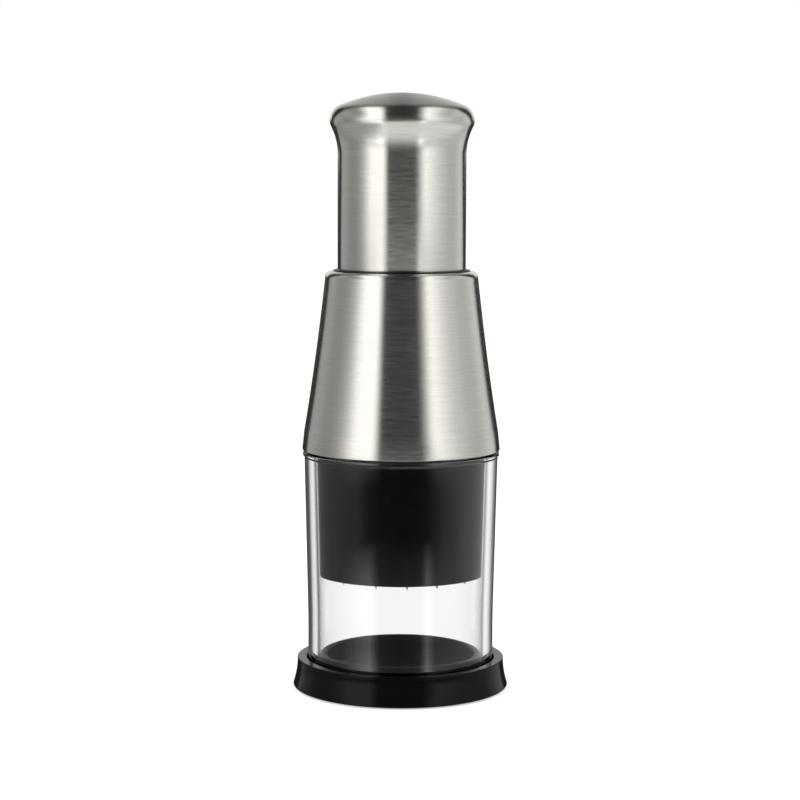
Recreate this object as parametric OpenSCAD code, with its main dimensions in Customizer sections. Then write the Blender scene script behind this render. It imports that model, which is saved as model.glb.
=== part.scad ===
// Hand-press vegetable chopper: a spring-loaded handle drives a set of strip blades
// through a slotted sleeve onto the floor of a clear cup.
// Origin at the centre of the foot ring's underside, +Z up, all sizes in millimetres.

/* [Base] */
// Diameter of the base where it meets the table
base_d = 59; // [54:0.5:66]
// Diameter of the base at its rim
base_rim_d = 56.7; // [52:0.1:62]
// Height of the rim of the base
base_h = 8; // [7:0.1:9]
// Height of the chopping floor
floor_h = 4; // [3.6:0.1:5]
// Height of the floor of the groove that the cup stands in
groove_h = 3; // [2.6:0.1:3.4]
// Height of the collar inside the cup
collar_h = 9.9; // [8.5:0.1:12]
// Wall of the collar inside the cup
collar_t = 1.7; // [1.2:0.1:1.9]
// Wall of the rim outside the groove
rim_t = 2.6; // [2:0.1:4]
// Round of the rim's outer edge
rim_round = 0.6; // [0.3:0.1:1]
// Bevel of the base's lower edge
base_bevel = 0.4; // [0.2:0.1:1]
// Fillet between the chopping floor and the collar
floor_fillet = 0.8; // [0.4:0.1:1]
// Thickness of the chopping floor
floor_t = 2.6; // [2:0.1:3]
// Distance of the foot ring from the edge of the base
foot_in = 2; // [1:0.1:4]
// Width of the foot ring
foot_w = 3.5; // [2.5:0.1:4]
// Thickness of the foot ring
foot_t = 1.6; // [1.2:0.1:1.8]
// How far the foot ring stands out of the base
foot_stand = 0.4; // [0.3:0.1:0.6]
// Ledge between the foot ring and the recess under the base
recess_in = 1.5; // [1:0.1:4]
// Thickness of the gasket under the cup
cup_gasket_t = 0.9; // [0.6:0.1:1.2]

/* [Cup] */
// Outer diameter of the cup below its bead
cup_top_d = 52.9; // [49:0.1:58]
// Wall of the cup
cup_wall = 3.1; // [2.4:0.1:3.4]
// Length of the cup's straight foot
cup_foot_h = 16; // [10:1:24]
// Height of the underside of the cup's bead
cup_bead_z = 64.4; // [62:0.2:67]
// How far the cup's bead stands out of its wall
bead_out = 0.4; // [0.2:0.05:0.8]
// Thickness of the cup's bead
bead_t = 0.8; // [0.6:0.1:1.2]
// Height of the slope under the bead
bead_slope = 0.5; // [0.3:0.1:1]
// Wall of the neck above the bead
neck_wall = 1.25; // [1:0.05:1.5]
// Length of the neck above the bead
neck_h = 5.4; // [4.6:0.1:6]

/* [Cone] */
// Thickness of the sheet steel
steel_t = 0.6; // [0.4:0.05:0.7]
// How far the hem of the cone stands out over the bead
cone_over = 0.2; // [0:0.05:0.6]
// Height of the steel cone
cone_h = 48.9; // [46:0.5:52]
// Height of the steeper foot of the cone
cone_foot_h = 5.3; // [4:0.1:7]
// How far the foot of the cone leans in
cone_foot_in = 0.55; // [0.4:0.05:0.7]
// Diameter of the cone below its rounded top edge
cone_top_d = 41.6; // [36:0.1:46]
// How far the side of the cone curves in at half height
cone_hollow = 0.3; // [0.1:0.05:0.4]
// Round of the cone's top edge
cone_round = 1.8; // [1.4:0.1:2]
// Width of the flat ring of steel round the bush
cone_flat = 0.35; // [0.2:0.05:2]
// Width of the hem turned in under the liner
hem_w = 1.1; // [0.8:0.1:1.2]

/* [Handle] */
// Height of the knob's top above the cone
handle_out = 48; // [45:0.5:60]
// How far the knob stands out of the tube
knob_out = 2.2; // [1:0.1:4]
// Radius of the knob's domed top
dome_r = 44; // [36:1:60]
// Round of the knob's edge
knob_round = 4.2; // [3.4:0.1:5]
// Radius of the neck that leads from the knob to the tube
neck_round = 16; // [12:1:18]
// Width of the lip turned in at the end of the tube
tube_lip_w = 1.35; // [1:0.05:1.8]
// Wall of the plastic core in the handle
core_t = 1.6; // [1.2:0.1:2]
// Depth of the core's top below the top of the knob
core_down = 12.5; // [11:0.5:16]
// Thickness of the disc that closes the core
core_disc_t = 4; // [3:0.5:5]
// Number of ribs under the core's disc
core_ribs = 6; // [3:1:8]
// Thickness of the ribs and of their shaft boss
core_rib_t = 1.6; // [1:0.1:2.4]
// Height of the ribs and of their shaft boss
core_rib_h = 6; // [3:0.5:8]

/* [Sleeve and blades] */
// Wall of the sleeve at its neck
sleeve_t = 1.3; // [1.1:0.1:2]
// Step from the side of the sleeve to its neck
sleeve_step = 1.05; // [0.9:0.05:1.2]
// How far the sleeve's floor lies above its lower rim
sleeve_recess = 0.3; // [0.2:0.1:0.6]
// Thickness of the sleeve's slotted floor
sleeve_floor_t = 2; // [1.4:0.1:2.6]
// Thickness of the flange that carries the sleeve
sleeve_flange_t = 1.5; // [1.2:0.1:1.8]
// Number of blades
blade_count = 5; // [3:1:5]
// Distance of the outer blades from the side of the blade set
blade_side = 4.1; // [3:0.1:5]
// Thickness of a blade
blade_t = 0.5; // [0.4:0.05:0.8]
// How far the blades' ends lie inside the edge of their carrier
blade_in = 0.3; // [0.2:0.1:1]
// How far the blade tips show below the sleeve's rim at rest
blade_peek = 1.2; // [0.6:0.1:1.6]
// Free depth of the blades below their carrier
blade_depth = 31.1; // [31:0.1:32]
// Height of the ground edge
blade_edge_h = 1.4; // [0.8:0.1:2]
// Thickness of a blade at its tip
blade_tip_t = 0.06; // [0.04:0.01:0.2]
// Depth of the blades' seat in the carrier
blade_seat = 3; // [2.6:0.1:3.6]
// Plastic left between the blades' seat and the end of the shaft
shaft_floor = 1; // [0.4:0.1:1.2]
// Angle at which the blade set stands
blade_set_angle = 5; // [0:1:45]

/* [Plunger] */
// Diameter of the plunger's rod
shaft_d = 6; // [5:0.5:6]
// Thickness of the blade carrier
carrier_t = 4.5; // [4.2:0.1:5]
// Wall of the carrier's hub
hub_wall = 3; // [2.4:0.1:4]
// Height of the carrier's hub
hub_h = 5.6; // [5:0.1:6]
// Diameter of the rods through the blades
rod_d = 1.6; // [1.2:0.1:1.8]
// Distance of the rods from the middle of the carrier
rod_offset = 6; // [4.5:0.1:6.5]
// Diameter of the cross pin through the hub
pin_d = 2; // [1.5:0.1:2.4]
// Width of the nut across its flats
nut_af = 10; // [9:0.5:11]
// Height of the nut
nut_h = 5; // [4:0.5:6]
// How far the shaft stands out of the nut
shaft_out = 1; // [0.5:0.1:2]
// Bevel of the shaft's ends
shaft_bevel = 0.5; // [0.3:0.1:1]
// Thickness of the washer under the nut
shaft_washer_t = 0.6; // [0.4:0.1:1]
// How far the washer stands out of the nut
washer_over = 1; // [0.5:0.1:2]

/* [Guide] */
// Thickness of the guide plate
plate_t = 2.5; // [2.2:0.1:3]
// Length of the guide above the plate
guide_up = 6; // [4:0.5:8]
// Length of the guide below the plate
guide_down = 2.6; // [2:0.1:5]
// Wall of the guide's boss
guide_wall = 2.94; // [2.2:0.02:3.4]
// Wall of the plastic liner in the cone
liner_t = 1.5; // [1.2:0.1:1.6]
// Thickness of the ring that carries the sleeve
ring_t = 2; // [1.6:0.1:2.2]
// Number of screws in the guide plate
screw_count = 3; // [3:1:4]
// Diameter of a screw
screw_d = 2.5; // [2:0.1:2.6]
// Length of a screw
screw_l = 9; // [7:0.5:12]
// How far a screw's head stands out of its thread
screw_head_out = 1.05; // [0.8:0.05:1.2]
// Length of a screw's point
screw_point = 0.5; // [0.3:0.1:1]
// Distance of the screws from the side of the guide plate's seat
screw_in = 3.1; // [2.6:0.1:3.2]
// Wall of a screw boss
screw_boss_wall = 1.15; // [0.9:0.05:1.2]
// Length of the bush that the handle slides in
bush_l = 9.3; // [7:0.1:9.4]
// Wall of the bush
bush_t = 0.95; // [0.7:0.05:1.4]
// Thickness of the bush's flange under the cone
bush_flange_t = 1.3; // [1:0.1:1.6]
// How far the bush stands out of the cone
bush_stand = 0.8; // [0.4:0.1:1.2]

/* [Spring and buffers] */
// Diameter of the spring's wire
wire_d = 1.4; // [1:0.1:1.6]
// Gap between the spring and the guide's boss
spring_gap = 0.9; // [0.6:0.1:1.6]
// Number of curls of the spring
spring_curls = 14; // [8:1:16]
// Thickness of the washer under the spring
spring_washer_t = 0.5; // [0.3:0.1:0.8]
// Thickness of the buffer on the hub
buffer_t = 1; // [0.8:0.1:1.2]
// Thickness of the buffer under the handle tube
press_buffer_t = 1.9; // [1.2:0.1:3]
// Width of the buffer under the handle tube
press_buffer_w = 2.25; // [1.6:0.05:2.6]
// Thickness of the gasket on the cup's neck
neck_gasket_t = 0.7; // [0.5:0.1:1]

/* [Clearances] */
// Gap between the cup and the rim of the base
rim_gap = 0.35; // [0.25:0.05:0.4]
// Gap between the cup and the collar of the base
collar_gap = 0.3; // [0.2:0.05:0.4]
// Gap between the cup and the sleeve
sleeve_gap = 0.4; // [0.3:0.05:0.5]
// Gap between the handle tube and its bush
bush_gap = 0.25; // [0.2:0.05:0.3]
// Gap between the rod and its guide
shaft_gap = 0.06; // [0.02:0.01:0.1]
// Gap around parts that turn or slide past each other
run_gap = 0.2; // [0.15:0.05:0.25]
// Gap around parts that are fitted into each other
fit_gap = 0.05; // [0.02:0.01:0.08]
// Gap around parts that sit in the cone, in the handle or on the cup's neck
seat_gap = 0.15; // [0.1:0.01:0.2]
// Gap between the cup and its gasket
gasket_gap = 0.1; // [0.05:0.01:0.2]
// Gap between the sleeve's flange and the guide plate
plate_gap = 0.3; // [0.2:0.05:0.5]
// Gap around the sleeve's flange
flange_gap = 0.6; // [0.4:0.1:0.8]
// Gap at each side of a blade in its slot
slot_side_gap = 0.25; // [0.15:0.05:0.4]
// Gap at each end of a blade in its slot
slot_end_gap = 0.4; // [0.2:0.05:0.5]
// Gap between the blades' ends and the collar
blade_end_gap = 0.4; // [0.3:0.05:1]
// Gap between the handle tube and its buffer at the end of the stroke
press_gap = 0.3; // [0.2:0.05:0.5]
// Gap between the blades and the floor at the end of the stroke
floor_gap = 0.4; // [0.3:0.1:0.8]
// Gap between the bead of the cup and the hem of the cone
hem_gap = 0.4; // [0.2:0.1:0.6]

/* [Hidden] */
$fn = 96;
arc_steps = 10;
edge = 0.3;
sleeve_bevel = 0.4;
eps = 0.01;

// Levels of the base and cup
cup_z = groove_h + cup_gasket_t + gasket_gap;
cup_foot_z = cup_z + cup_foot_h;
bead_top_z = cup_bead_z + bead_t;
neck_top_z = bead_top_z + neck_h;

// Levels of the cone
hem_z = bead_top_z + hem_gap;
foot_z = hem_z + cone_foot_h;
cone_top_z = hem_z + cone_h;
shoulder_z = cone_top_z - cone_round;
liner_z = hem_z + steel_t + fit_gap;
liner_top_z = cone_top_z - steel_t - fit_gap - bush_flange_t;
bush_z = liner_top_z - bush_l;
bush_top_z = cone_top_z + bush_stand;

// Levels of the stack in the cone: gasket, ring, sleeve flange, guide plate
gasket_z = neck_top_z + run_gap;
ring_z = gasket_z + neck_gasket_t;
flange_z = ring_z + ring_t + run_gap;
flange_top_z = flange_z + sleeve_flange_t;
plate_z = flange_top_z + plate_gap;
plate_top_z = plate_z + plate_t;
guide_z = plate_z - guide_down;
guide_top_z = plate_top_z + guide_up;
boss_h = screw_l - plate_t + 1.5;

// Levels of the blades and the stroke, from the guide down
hub_top_z = guide_z - run_gap - buffer_t;
carrier_top_z = hub_top_z - hub_h;
carrier_z = carrier_top_z - carrier_t;
blade_top_z = carrier_z + blade_seat;
tip_z = carrier_z - blade_depth;
rod_z = carrier_z + blade_seat / 2;
pin_z = carrier_top_z + hub_h / 2;
shaft_z = blade_top_z + shaft_floor;
stroke = tip_z - floor_h - floor_gap;

// Levels of the sleeve
sleeve_z = tip_z + blade_peek;
sleeve_floor_z = sleeve_z + sleeve_recess;
sleeve_floor_top_z = sleeve_floor_z + sleeve_floor_t;
sleeve_shoulder_z = neck_top_z - sleeve_gap;

// Levels of the handle and its core
total_h = cone_top_z + handle_out;
tube_z = plate_top_z + press_buffer_t + stroke + press_gap;
core_z = tube_z + steel_t + fit_gap;
core_top_z = total_h - core_down;
core_disc_z = core_top_z - core_disc_t;
core_rib_z = core_disc_z - core_rib_h;
nut_z = core_top_z + shaft_washer_t;
shaft_top_z = nut_z + nut_h + shaft_out;

// Radii of the base and of the cup's foot, from the rim inwards
base_r = base_d / 2;
rim_r = base_rim_d / 2;
groove_r = rim_r - rim_t;
cup_r = groove_r - rim_gap;
bore_foot_r = cup_r - cup_wall;
collar_r = bore_foot_r - collar_gap;
collar_in_r = collar_r - collar_t;
foot_r = base_r - foot_in;
foot_in_r = foot_r - foot_w;

// Radii of the cup's top, and of what goes over and into it
cup_top_r = cup_top_d / 2;
bead_r = cup_top_r + bead_out;
bore_top_r = cup_top_r - cup_wall;
neck_r = bore_top_r + neck_wall;
socket_r = neck_r + seat_gap;
seat_r = bore_top_r + seat_gap;
sleeve_top_r = bore_top_r - sleeve_gap;
sleeve_neck_r = sleeve_top_r - sleeve_step;
ring_in_r = sleeve_neck_r + run_gap;
sleeve_flange_r = seat_r - flange_gap;

// Radii of the cone, its bush and the handle, from the top edge inwards
cone_r = bead_r + cone_over;
cone_foot_r = cone_r - cone_foot_in;
cone_top_r = cone_top_d / 2;
corner_r = cone_top_r - cone_round;
cone_hole_r = corner_r - cone_flat;
bush_r = cone_hole_r - fit_gap;
bush_in_r = bush_r - bush_t;
bush_flange_r = corner_r + 0.2;
tube_r = bush_in_r - bush_gap;
tube_in_r = tube_r - steel_t;
tube_lip_r = tube_in_r - tube_lip_w;
core_r = tube_in_r - seat_gap;
core_in_r = core_r - core_t;
knob_r = tube_r + knob_out;
liner_out = steel_t + seat_gap;
liner_in = liner_out + liner_t;

// Radii round the shaft
shaft_r = shaft_d / 2;
guide_in_r = shaft_r + shaft_gap;
guide_r = guide_in_r + guide_wall;
hub_r = shaft_r + hub_wall;
spring_r = guide_r + spring_gap + wire_d / 2;
spring_seat_r = spring_r + wire_d;
core_boss_r = shaft_r + fit_gap + core_rib_t;

// Radii of the screws, and of the buffer that lies inside them
screw_r = screw_d / 2;
screw_head_r = screw_r + screw_head_out;
screw_boss_r = screw_r + screw_boss_wall;
screw_circle_r = seat_r - screw_in;
press_buffer_r = min(tube_r - 0.1, screw_circle_r - screw_boss_r - run_gap);

// Centres of the knob's three arcs: dome, edge and neck
knob_x = knob_r - knob_round;
dome_z = total_h - dome_r;
knob_z = dome_z + sqrt(pow(dome_r - knob_round, 2) - pow(knob_x, 2));
neck_x = tube_r + neck_round;
neck_drop = sqrt(pow(knob_round + neck_round, 2) - pow(neck_x - knob_x, 2));
dome_angle = atan2(knob_z - dome_z, knob_x);
neck_angle = atan2(neck_drop, neck_x - knob_x);

blade_names = [for (k = [1:blade_count]) str("chopping_blade_", k)];

steel = [0.77, 0.77, 0.75];
black = [0.07, 0.07, 0.08];
rubber = [0.16, 0.16, 0.17];
clear = [0.88, 0.94, 0.96, 0.35];
grey = [0.62, 0.64, 0.66];

// Points of an arc about (x, z) from angle a to angle b
function arc(x, z, r, a, b, n = arc_steps) =
    [for (i = [0:n]) let (t = a + (b - a) * i / n) [x + r * cos(t), z + r * sin(t)]];

function mix(a, b, t) = a + (b - a) * t;

function reversed(list) = [for (i = [len(list) - 1:-1:0]) list[i]];

// A list without its first point, where that is the last point of the outline before it
function tail(list) = [for (i = [1:len(list) - 1]) list[i]];

// Outer radius of the cup and bore of the cup at a height
function cup_out(z) =
    mix(cup_r, cup_top_r, max(0, (z - cup_foot_z) / (cup_bead_z - cup_foot_z)));

function sleeve_out(z) = cup_out(min(z, cup_bead_z)) - cup_wall - sleeve_gap;

// The sleeve's bore leaves it a wall at both ends, and the blades pass into the collar
sleeve_bore_r = min(sleeve_neck_r, sleeve_out(sleeve_z)) - sleeve_t;
carrier_r = sleeve_bore_r - sleeve_gap;
blade_circle_r = min(carrier_r - blade_in, collar_in_r - blade_end_gap);
blade_pitch = 2 * (blade_circle_r - blade_side) / (blade_count - 1);

// Outer radius of the cone at a height: a steep foot, then a side curved in a little
function cone_out(z) =
    z <= foot_z
        ? mix(cone_r, cone_foot_r, (z - hem_z) / cone_foot_h)
        : let (t = (z - foot_z) / (shoulder_z - foot_z))
          mix(cone_foot_r, cone_top_r, t) - cone_hollow * 4 * t * (1 - t);

// Side of the cone, set in by a distance, from one height to another
function cone_side(set_in, z0, z1) =
    let (low = max(z0, foot_z))
    concat(
        z0 < foot_z ? [[cone_out(z0) - set_in, z0]] : [],
        [for (i = [0:arc_steps])
            let (z = mix(low, z1, i / arc_steps)) [cone_out(z) - set_in, z]]
    );

// Outline of the knob and tube, set in by a distance, from the top down
function knob_side(set_in) = concat(
    arc(0, dome_z, dome_r - set_in, 90, dome_angle),
    tail(arc(knob_x, knob_z, knob_round - set_in, dome_angle, -neck_angle)),
    tail(arc(neck_x, knob_z - neck_drop, neck_round + set_in, 180 - neck_angle, 180))
);

// Half the length of the blade at a distance from the middle
function blade_half(x) = sqrt(pow(blade_circle_r, 2) - pow(x, 2));

function blade_x(k) = (k - (blade_count + 1) / 2) * blade_pitch;

module ring(r_in, r_out, z, h) {
    translate([0, 0, z])
        rotate_extrude()
            polygon([[r_in, 0], [r_out, 0], [r_out, h], [r_in, h]]);
}

module round_bar(r, z, h, bevel = edge) {
    translate([0, 0, z])
        rotate_extrude()
            polygon([[0, 0], [r - bevel, 0], [r, bevel], [r, h - bevel], [r - bevel, h], [0, h]]);
}

// A rod or hole across the axis, along X
module cross_bar(r, half, y, z) {
    translate([-half, y, z])
        rotate([0, 90, 0])
            cylinder(r = r, h = 2 * half, $fn = 32);
}

module at_screws() {
    for (i = [0:screw_count - 1])
        rotate([0, 0, 90 + i * 360 / screw_count])
            translate([screw_circle_r, 0, 0])
                children();
}

// Slots or grooves for the whole blade set, wider and longer than the blades
module blade_slots(side, end, z, h) {
    for (k = [1:blade_count])
        translate([blade_x(k) - blade_t / 2 - side, -blade_half(blade_x(k)) - end, z])
            cube([blade_t + 2 * side, 2 * (blade_half(blade_x(k)) + end), h]);
}

module base_cap() {
    skirt_z = base_h - rim_round;
    skirt_foot_z = foot_stand + base_bevel;
    flare = base_r - rim_r;
    recess_z = floor_h - floor_t;
    recess_r = foot_in_r - recess_in;
    slot_in_r = foot_in_r - fit_gap;
    slot_out_r = foot_r + fit_gap;
    color(black)
        rotate_extrude()
            polygon(concat(
                [[0, recess_z], [recess_r, recess_z], [recess_r, foot_stand]],
                [[slot_in_r, foot_stand], [slot_in_r, foot_t]],
                [[slot_out_r, foot_t], [slot_out_r, foot_stand]],
                [[base_r - base_bevel, foot_stand]],
                [for (i = [0:arc_steps])
                    let (t = i / arc_steps)
                    [rim_r + flare * pow(1 - t, 2), mix(skirt_foot_z, skirt_z, t)]],
                tail(arc(rim_r - rim_round, skirt_z, rim_round, 0, 90, 4)),
                [[groove_r + edge, base_h], [groove_r, base_h - edge], [groove_r, groove_h]],
                [[collar_r, groove_h], [collar_r, collar_h - edge], [collar_r - edge, collar_h]],
                [[collar_in_r + edge, collar_h], [collar_in_r, collar_h - edge]],
                arc(collar_in_r - floor_fillet, floor_h + floor_fillet, floor_fillet, 0, -90, 4),
                [[0, floor_h]]
            ));
}

module foot_ring() {
    color(rubber)
        ring(foot_in_r, foot_r, 0, foot_t);
}

module cup_gasket() {
    color(rubber)
        ring(collar_r + fit_gap, groove_r - fit_gap, groove_h, cup_gasket_t);
}

module clear_cup() {
    color(clear)
        rotate_extrude()
            polygon([
                [bore_foot_r + edge, cup_z],
                [cup_r - edge, cup_z],
                [cup_r, cup_z + edge],
                [cup_r, cup_foot_z],
                [cup_out(cup_bead_z - bead_slope), cup_bead_z - bead_slope],
                [bead_r, cup_bead_z],
                [bead_r, bead_top_z],
                [neck_r, bead_top_z],
                [neck_r, neck_top_z],
                [bore_top_r, neck_top_z],
                [bore_top_r, cup_bead_z],
                [bore_foot_r, cup_foot_z],
                [bore_foot_r, cup_z + edge]
            ]);
}

module cone_shell() {
    lip_r = cone_r - steel_t - hem_w;
    color(steel)
        rotate_extrude()
            polygon(concat(
                [[lip_r, hem_z]],
                cone_side(0, hem_z, shoulder_z),
                tail(arc(corner_r, shoulder_z, cone_round, 0, 90)),
                [[cone_hole_r, cone_top_z], [cone_hole_r, cone_top_z - steel_t]],
                arc(corner_r, shoulder_z, cone_round - steel_t, 90, 0),
                tail(reversed(cone_side(steel_t, hem_z + steel_t, shoulder_z))),
                [[lip_r, hem_z + steel_t]]
            ));
}

module housing_liner() {
    color(black)
        difference() {
            union() {
                rotate_extrude()
                    polygon(concat(
                        [[socket_r, liner_z]],
                        cone_side(liner_out, liner_z, liner_top_z),
                        [[bush_r + fit_gap, liner_top_z], [bush_r + fit_gap, bush_z]],
                        reversed(cone_side(liner_in, plate_top_z, bush_z - 2)),
                        [[seat_r, plate_top_z], [seat_r, ring_z], [socket_r, ring_z]]
                    ));
                screw_bosses();
            }
            at_screws()
                translate([0, 0, plate_top_z - eps])
                    cylinder(r = screw_r + fit_gap, h = boss_h - 1 + eps);
        }
}

// A boss for each screw, with a web out to the middle of the liner's wall
module screw_bosses() {
    intersection() {
        at_screws()
            translate([0, 0, plate_top_z]) {
                cylinder(r = screw_boss_r, h = boss_h);
                translate([0, -screw_boss_r, 0])
                    cube([cone_r, 2 * screw_boss_r, boss_h]);
            }
        rotate_extrude()
            polygon(concat(
                [[0, plate_top_z]],
                cone_side(liner_out + liner_t / 2, plate_top_z, plate_top_z + boss_h),
                [[0, plate_top_z + boss_h]]
            ));
    }
}

module guide_bush() {
    low_z = bush_z + fit_gap;
    collar_top_z = liner_top_z + bush_flange_t;
    color(black)
        rotate_extrude()
            polygon([
                [bush_in_r + edge, low_z],
                [bush_r, low_z],
                [bush_r, liner_top_z],
                [bush_flange_r, liner_top_z],
                [bush_flange_r, collar_top_z],
                [bush_r, collar_top_z],
                [bush_r, bush_top_z - edge],
                [bush_r - edge, bush_top_z],
                [bush_in_r + edge, bush_top_z],
                [bush_in_r, bush_top_z - edge],
                [bush_in_r, low_z + edge]
            ]);
}

module neck_gasket() {
    color(rubber)
        ring(sleeve_top_r + fit_gap, socket_r - fit_gap, gasket_z, neck_gasket_t);
}

module sleeve_ring() {
    color(black)
        ring(ring_in_r, seat_r - fit_gap, ring_z, ring_t);
}

module guide_plate() {
    hole_r = screw_r + 2 * fit_gap;
    sink_r = screw_head_r + fit_gap;
    color(grey)
        difference() {
            rotate_extrude()
                polygon([
                    [guide_in_r, guide_z],
                    [guide_r, guide_z],
                    [guide_r, plate_z],
                    [seat_r - fit_gap, plate_z],
                    [seat_r - fit_gap, plate_top_z],
                    [guide_r, plate_top_z],
                    [guide_r, guide_top_z],
                    [guide_in_r, guide_top_z]
                ]);
            at_screws()
                translate([0, 0, plate_z - eps]) {
                    cylinder(r = hole_r, h = plate_t + 2 * eps);
                    cylinder(r1 = sink_r + eps, r2 = hole_r, h = screw_head_out + eps);
                }
        }
}

module guide_screws() {
    cross_w = 0.6;
    cross_depth = 0.8;
    cross_half = screw_head_r * 0.6;
    color(steel)
        at_screws()
            difference() {
                translate([0, 0, plate_z])
                    rotate_extrude($fn = 48)
                        polygon([
                            [0, 0],
                            [screw_head_r, 0],
                            [screw_r, screw_head_out],
                            [screw_r, screw_l - screw_point],
                            [screw_r - screw_point, screw_l],
                            [0, screw_l]
                        ]);
                for (a = [0, 90])
                    rotate([0, 0, a])
                        translate([-cross_half, -cross_w / 2, plate_z - eps])
                            cube([2 * cross_half, cross_w, cross_depth]);
            }
}

module spring_washer() {
    color(steel)
        ring(guide_r + fit_gap, spring_seat_r, plate_top_z, spring_washer_t);
}

module press_buffer() {
    color(rubber)
        ring(press_buffer_r - press_buffer_w, press_buffer_r, plate_top_z, press_buffer_t);
}

// Centre line of the spring's wire. Each end turns up out of the coil and meets its seat
// square on, after a straight run of one wire diameter.
spring_z = plate_top_z + spring_washer_t;
spring_top_z = core_disc_z;
bend_r = wire_d;
coil_z0 = spring_z + wire_d + bend_r;
coil_z1 = spring_top_z - wire_d - bend_r;
curl_rings = 8;
coil_steps = spring_curls * curl_rings;
bend_angles = [0, 30, 60];

function coil_point(i) =
    let (a = 360 * i / curl_rings)
    [spring_r * cos(a), spring_r * sin(a), mix(coil_z0, coil_z1, i / coil_steps)];

spring_path = concat(
    [[spring_r, -bend_r, spring_z]],
    [for (a = bend_angles) [spring_r, -bend_r * cos(a), coil_z0 - bend_r * (1 - sin(a))]],
    [for (i = [0:coil_steps]) coil_point(i)],
    [for (a = reversed(bend_angles)) [spring_r, bend_r * cos(a), coil_z1 + bend_r * (1 - sin(a))]],
    [[spring_r, bend_r, spring_top_z]]
);

function unit(v) = v / norm(v);

// Least distance between two points of the coil at least half a curl apart, less the wire
function coil_gap(path) =
    min([for (i = [0:len(path) - 1], j = [i + curl_rings / 2:1:len(path) - 1])
        norm(path[i] - path[j])]) - wire_d;

// A closed tube along a path, with its sides counted from the axis outwards
module wire_tube(path, r, sides = 6) {
    last = len(path) - 1;
    points = [for (i = [0:last])
        let (t = unit(path[min(i + 1, last)] - path[max(i - 1, 0)]))
        let (out = unit([path[i][0], path[i][1], 0]))
        let (u = unit(out - (out * t) * t))
        let (v = cross(t, u))
        for (s = [0:sides - 1])
            path[i] + r * (cos(360 * s / sides) * u + sin(360 * s / sides) * v)];
    walls = [for (i = [0:last - 1], s = [0:sides - 1])
        let (a = i * sides + s, b = i * sides + (s + 1) % sides)
        for (f = [[a, b, b + sides], [a, b + sides, a + sides]]) f];
    cap0 = [for (s = [1:sides - 2]) [0, s + 1, s]];
    cap1 = [for (s = [1:sides - 2]) [last * sides, last * sides + s, last * sides + s + 1]];
    polyhedron(points = points, faces = concat(walls, cap0, cap1));
}

module return_spring() {
    echo(spring_least_gap = coil_gap(spring_path));
    color(steel)
        wire_tube(spring_path, wire_d / 2);
}

module blade_sleeve() {
    color(black)
        difference() {
            rotate_extrude()
                polygon([
                    [0, sleeve_floor_z],
                    [sleeve_bore_r, sleeve_floor_z],
                    [sleeve_bore_r, sleeve_z],
                    [sleeve_out(sleeve_z) - sleeve_bevel, sleeve_z],
                    [sleeve_out(sleeve_z + sleeve_bevel), sleeve_z + sleeve_bevel],
                    [sleeve_top_r, cup_bead_z],
                    [sleeve_top_r, sleeve_shoulder_z],
                    [sleeve_neck_r, sleeve_shoulder_z],
                    [sleeve_neck_r, flange_z],
                    [sleeve_flange_r, flange_z],
                    [sleeve_flange_r, flange_top_z],
                    [sleeve_bore_r, flange_top_z],
                    [sleeve_bore_r, sleeve_floor_top_z],
                    [0, sleeve_floor_top_z]
                ]);
            rotate([0, 0, blade_set_angle])
                blade_slots(slot_side_gap, slot_end_gap, sleeve_floor_z - 1, sleeve_floor_t + 2);
        }
}

module handle_shell() {
    color(steel)
        rotate_extrude()
            polygon(concat(
                knob_side(0),
                [[tube_r, tube_z], [tube_lip_r, tube_z], [tube_lip_r, tube_z + steel_t]],
                [[tube_in_r, tube_z + steel_t]],
                reversed(knob_side(steel_t))
            ));
}

module handle_core() {
    color(black)
        difference() {
            union() {
                rotate_extrude()
                    polygon([
                        [core_in_r, core_z],
                        [core_r, core_z],
                        [core_r, core_top_z],
                        [0, core_top_z],
                        [0, core_disc_z],
                        [core_in_r, core_disc_z]
                    ]);
                translate([0, 0, core_rib_z])
                    cylinder(r = core_boss_r, h = core_rib_h + eps);
                for (i = [0:core_ribs - 1])
                    rotate([0, 0, i * 360 / core_ribs])
                        translate([spring_seat_r, -core_rib_t / 2, core_rib_z])
                            cube([core_in_r + core_t / 2 - spring_seat_r, core_rib_t, core_rib_h + eps]);
            }
            translate([0, 0, core_rib_z - 1])
                cylinder(r = shaft_r + fit_gap, h = core_rib_h + core_disc_t + 2);
        }
}

module plunger_shaft() {
    color(steel)
        difference() {
            round_bar(shaft_r, shaft_z, shaft_top_z - shaft_z, shaft_bevel);
            rotate([0, 0, blade_set_angle])
                cross_bar(pin_d / 2 + fit_gap, hub_r + 1, 0, pin_z);
        }
}

module shaft_washer() {
    color(steel)
        ring(shaft_r + 2 * fit_gap, nut_af / 2 + washer_over, core_top_z, shaft_washer_t);
}

module shaft_nut() {
    color(steel)
        difference() {
            translate([0, 0, nut_z])
                cylinder(r = nut_af / 2 / cos(30), h = nut_h, $fn = 6);
            translate([0, 0, nut_z - 1])
                cylinder(r = shaft_r + fit_gap, h = nut_h + 2);
        }
}

module top_buffer() {
    color(rubber)
        ring(shaft_r + run_gap, hub_r, hub_top_z, buffer_t);
}

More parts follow.
